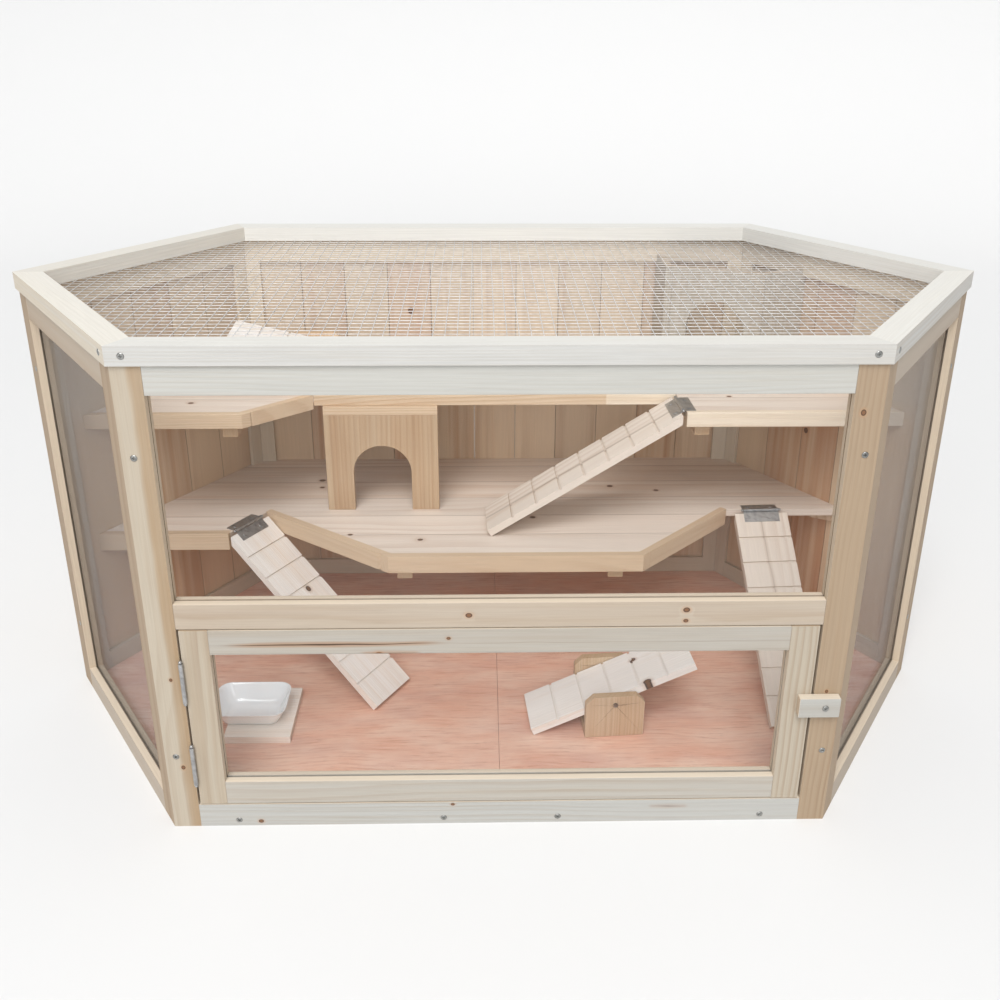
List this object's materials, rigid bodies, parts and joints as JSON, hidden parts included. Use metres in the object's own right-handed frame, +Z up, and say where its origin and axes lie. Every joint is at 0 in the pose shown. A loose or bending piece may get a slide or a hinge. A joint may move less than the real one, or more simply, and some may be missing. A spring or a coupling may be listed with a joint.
{
  "type": "hamster cage",
  "caption": "Six-sided wooden small pet cage with clear walls, front door, hinged mesh lid, two shelves, ladders, seesaws, arched hides and a feeding bowl",
  "frame": {"origin": "on the ground under the centre of the bounding box", "axes": "X to the right, Y to the back, Z up; the door is on the -Y side"},
  "size_m": [1.1498, 0.6136, 0.57],
  "materials": {
    "frame_wood": "planed softwood",
    "rail_wood": "planed softwood",
    "plank_wood": "rough sawn softwood",
    "shelf_wood": "planed softwood",
    "strip_wood": "planed softwood",
    "plywood": "sanded plywood",
    "clear_pane": "clear plastic sheet, lightly scratched",
    "steel": "plated hinge steel",
    "zinc": "zinc plated",
    "mesh": "galvanised wire",
    "glaze": "glossy glaze"
  },
  "bodies": {
    "cage": {"front_left_stile": "frame_wood", "front_right_stile": "frame_wood", "front_top_rail": "rail_wood", "front_middle_rail": "rail_wood", "front_bottom_rail": "rail_wood", "front_pane": "clear_pane", "left_window_stiles": "frame_wood", "left_window_rails": "rail_wood", "left_window_pane": "clear_pane", "right_window_stiles": "frame_wood", "right_window_rails": "rail_wood", "right_window_pane": "clear_pane", "rear_left_frame": "frame_wood", "rear_left_planks": "plank_wood", "rear_right_frame": "frame_wood", "rear_right_planks": "plank_wood", "back_frame": "frame_wood", "back_planks": "plank_wood", "floor_panels": "plywood", "middle_shelf_boards": "shelf_wood", "middle_shelf_edging": "strip_wood", "middle_shelf_cleats": "strip_wood", "top_shelf_boards": "shelf_wood", "top_shelf_edging": "strip_wood", "top_shelf_cleats": "strip_wood", "arch_board": "strip_wood", "arch_batten": "strip_wood", "corner_house_front": "strip_wood", "corner_house_sides": "strip_wood", "lower_seesaw_stand": "strip_wood", "upper_seesaw_stand": "strip_wood", "ladder_shelf_leaves": "steel", "door_frame_leaves": "steel", "lid_wall_leaves": "steel", "frame_screws": "zinc", "bowl_block": "strip_wood"},
    "bowl": {"bowl": "glaze"},
    "door": {"door_stiles": "frame_wood", "door_rails": "rail_wood", "door_pane": "clear_pane", "door_leaves": "steel"},
    "turn_button": {"turn_button": "strip_wood"},
    "lid": {"lid_front_bar": "rail_wood", "lid_back_bar": "rail_wood", "lid_side_bars": "rail_wood", "lid_mesh": "mesh", "lid_leaves": "steel", "lid_screws": "zinc"},
    "left_ladder": {"left_ladder": "strip_wood", "left_ladder_leaf": "steel"},
    "right_ladder": {"right_ladder": "strip_wood", "right_ladder_leaf": "steel"},
    "upper_ladder": {"upper_ladder": "strip_wood", "upper_ladder_leaf": "steel"},
    "lower_seesaw": {"lower_seesaw_board": "strip_wood", "lower_seesaw_pins": "zinc"},
    "upper_seesaw": {"upper_seesaw_board": "strip_wood", "upper_seesaw_pins": "zinc"}
  },
  "joints": [
    {"name": "door_hinge", "type": "hinge", "parent": "cage", "child": "door", "pos_m": [-0.33944, -0.2978, 0.145], "axis": [0, 0, -1], "range_deg": [0, 165]},
    {"name": "button_turn", "type": "hinge", "parent": "cage", "child": "turn_button", "pos_m": [0.35174, -0.3003, 0.161], "axis": [0, 1, 0], "range_deg": [0, 90]},
    {"name": "lid_hinge", "type": "hinge", "parent": "cage", "child": "lid", "pos_m": [0, 0.3043, 0.5496], "axis": [-1, 0, 0], "range_deg": [0, 100]},
    {"name": "left_ladder_hinge", "type": "hinge", "parent": "cage", "child": "left_ladder", "pos_m": [-0.34002, 0.06043, 0.206], "axis": [-0.515, -0.8572, 0], "range_deg": [0, 9]},
    {"name": "right_ladder_hinge", "type": "hinge", "parent": "cage", "child": "right_ladder", "pos_m": [0.37422, 0.09381, 0.206], "axis": [-0.9986, -0.0523, 0], "range_deg": [0, 8]},
    {"name": "upper_ladder_hinge", "type": "hinge", "parent": "cage", "child": "upper_ladder", "pos_m": [0.24248, 0.0675, 0.376], "axis": [-0.0416, 0.9991, 0], "range_deg": [0, 60]},
    {"name": "lower_seesaw_pivot", "type": "hinge", "parent": "cage", "child": "lower_seesaw", "pos_m": [0.143, -0.099, 0.053], "axis": [-0.0767, 0.9971, 0], "range_deg": [0, 45]},
    {"name": "upper_seesaw_pivot", "type": "hinge", "parent": "cage", "child": "upper_seesaw", "pos_m": [-0.253, 0.1635, 0.423], "axis": [-0.0454, 0.999, 0], "range_deg": [-36.5, 8]},
    {"name": "bowl_lift", "type": "slide", "parent": "cage", "child": "bowl", "axis": [0, 0, 1], "range_m": [0, 0.06]}
  ]
}
